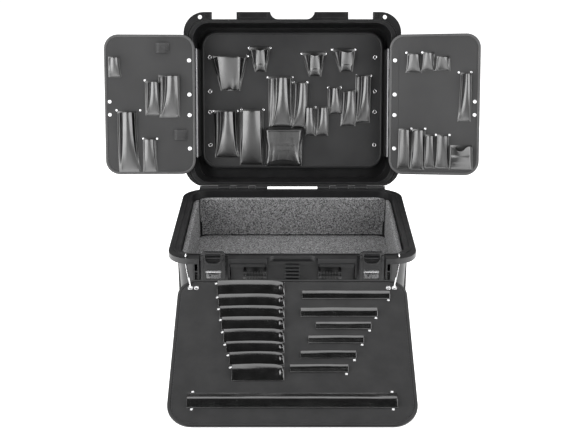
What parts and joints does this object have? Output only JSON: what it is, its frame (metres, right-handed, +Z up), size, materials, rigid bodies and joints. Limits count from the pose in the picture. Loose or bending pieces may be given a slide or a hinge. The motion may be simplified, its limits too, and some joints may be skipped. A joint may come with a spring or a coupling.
{
  "type": "tool case",
  "caption": "Black moulded tool case, open, with a foam-lined base, a hinged lid, folding tool pallets with leather pouches, and a hook-on front pallet.",
  "frame": {"origin": "centre of the base's flat underside", "axes": "+X to the case's right as seen from its front, +Y from the front to the hinge, +Z up"},
  "size_m": [0.89, 0.9747, 0.5726],
  "materials": {
    "moulded_plastic": "black moulded, fine texture",
    "foam": "dark grey open-cell foam, speckled",
    "seal_rubber": "soft black rubber",
    "handle_rubber": "black, overmoulded",
    "pallet_vinyl": "black vinyl on board, satin",
    "binding_vinyl": "black vinyl edging",
    "pouch_leather": "black, glossy and creased",
    "webbing": "black woven tape",
    "hinge_aluminium": "bright rolled sheet",
    "rivet_chrome": "polished",
    "hook_wire": "bright plated wire",
    "release_metal": "bright stamped sheet",
    "pin_steel": "plain steel"
  },
  "bodies": {
    "base": {"base_shell": "moulded_plastic", "foam_floor": "foam", "foam_rear": "foam", "foam_front": "foam", "foam_left": "foam", "foam_right": "foam", "lid_hinge_pins": "pin_steel", "latch_pins": "pin_steel", "handle_pins": "pin_steel"},
    "lid": {"lid_shell": "moulded_plastic", "lid_seal": "seal_rubber", "centre_pallet": "pallet_vinyl", "centre_binding": "binding_vinyl", "wing_bracket_left": "hinge_aluminium", "wing_bracket_right": "hinge_aluminium", "wing_hinge_pins": "pin_steel", "pallet_rivets": "rivet_chrome", "centre_pouch_rivets": "rivet_chrome", "fan_pouch": "pouch_leather", "plier_holsters": "pouch_leather", "double_pouches": "pouch_leather", "short_pouches": "pouch_leather", "stepped_pouches": "pouch_leather", "wide_pouches": "pouch_leather", "flap_pouch": "pouch_leather"},
    "left_wing": {"left_wing_board": "pallet_vinyl", "left_wing_binding": "binding_vinyl", "left_wing_leaf": "hinge_aluminium", "left_wing_rivets": "rivet_chrome", "left_wing_pouches": "pouch_leather", "left_wing_webbing": "webbing"},
    "right_wing": {"right_wing_board": "pallet_vinyl", "right_wing_binding": "binding_vinyl", "right_wing_leaf": "hinge_aluminium", "right_wing_rivets": "rivet_chrome", "right_top_pouches": "pouch_leather", "right_long_pouch": "pouch_leather", "right_lower_pouches": "pouch_leather", "right_holster": "pouch_leather"},
    "left_latch": {"left_latch": "moulded_plastic", "left_release_pin": "pin_steel"},
    "left_release": {"left_release": "release_metal"},
    "right_latch": {"right_latch": "moulded_plastic", "right_release_pin": "pin_steel"},
    "right_release": {"right_release": "release_metal"},
    "handle": {"handle": "handle_rubber"},
    "left_hook": {"left_hook": "hook_wire"},
    "right_hook": {"right_hook": "hook_wire"},
    "front_pallet": {"front_pallet": "pallet_vinyl", "front_binding": "binding_vinyl", "front_grommets": "rivet_chrome", "front_rivets": "rivet_chrome", "roll_pouches": "pouch_leather", "driver_pouches": "pouch_leather", "level_pouch": "pouch_leather"}
  },
  "joints": [
    {"name": "lid_hinge", "type": "hinge", "parent": "base", "child": "lid", "pos_m": [0, 0.214, 0.165], "axis": [-1, 0, 0], "range_deg": [-64, 0]},
    {"name": "left_wing_fold", "type": "hinge", "parent": "lid", "child": "left_wing", "pos_m": [-0.23, 0.2652, 0.36458], "axis": [0, -0.2672, -0.9636], "range_deg": [-177, 0]},
    {"name": "right_wing_fold", "type": "hinge", "parent": "lid", "child": "right_wing", "pos_m": [0.23, 0.2652, 0.36458], "axis": [0, 0.2672, 0.9636], "range_deg": [-165, 0]},
    {"name": "left_latch_turn", "type": "hinge", "parent": "base", "child": "left_latch", "pos_m": [-0.163, -0.214, 0.107], "axis": [1, 0, 0], "range_deg": [0, 40]},
    {"name": "left_release_press", "type": "hinge", "parent": "left_latch", "child": "left_release", "pos_m": [-0.163, -0.214, 0.139], "axis": [1, 0, 0], "range_deg": [0, 15], "stiffness_Nm_per_rad": 0.02, "springref_deg": -11.46},
    {"name": "right_latch_turn", "type": "hinge", "parent": "base", "child": "right_latch", "pos_m": [0.163, -0.214, 0.107], "axis": [1, 0, 0], "range_deg": [0, 40]},
    {"name": "right_release_press", "type": "hinge", "parent": "right_latch", "child": "right_release", "pos_m": [0.163, -0.214, 0.139], "axis": [1, 0, 0], "range_deg": [0, 15], "stiffness_Nm_per_rad": 0.02, "springref_deg": -11.46},
    {"name": "handle_lift", "type": "hinge", "parent": "base", "child": "handle", "pos_m": [0, -0.216, 0.132], "axis": [-1, 0, 0], "range_deg": [0, 80]},
    {"name": "left_hook_swing", "type": "hinge", "parent": "base", "child": "left_hook", "pos_m": [-0.221, -0.208, 0.1505], "axis": [1, 0, 0], "range_deg": [-11, 0]},
    {"name": "right_hook_swing", "type": "hinge", "parent": "base", "child": "right_hook", "pos_m": [0.221, -0.208, 0.1505], "axis": [1, 0, 0], "range_deg": [-11, 0]},
    {"name": "pallet_tilt", "type": "hinge", "parent": "left_hook", "child": "front_pallet", "pos_m": [0, -0.28986, 0.13573], "axis": [1, 0, 0], "range_deg": [-45, 0]}
  ],
  "couplings": [
    {"joint": "right_hook_swing", "follows": "left_hook_swing", "ratio": 1}
  ]
}
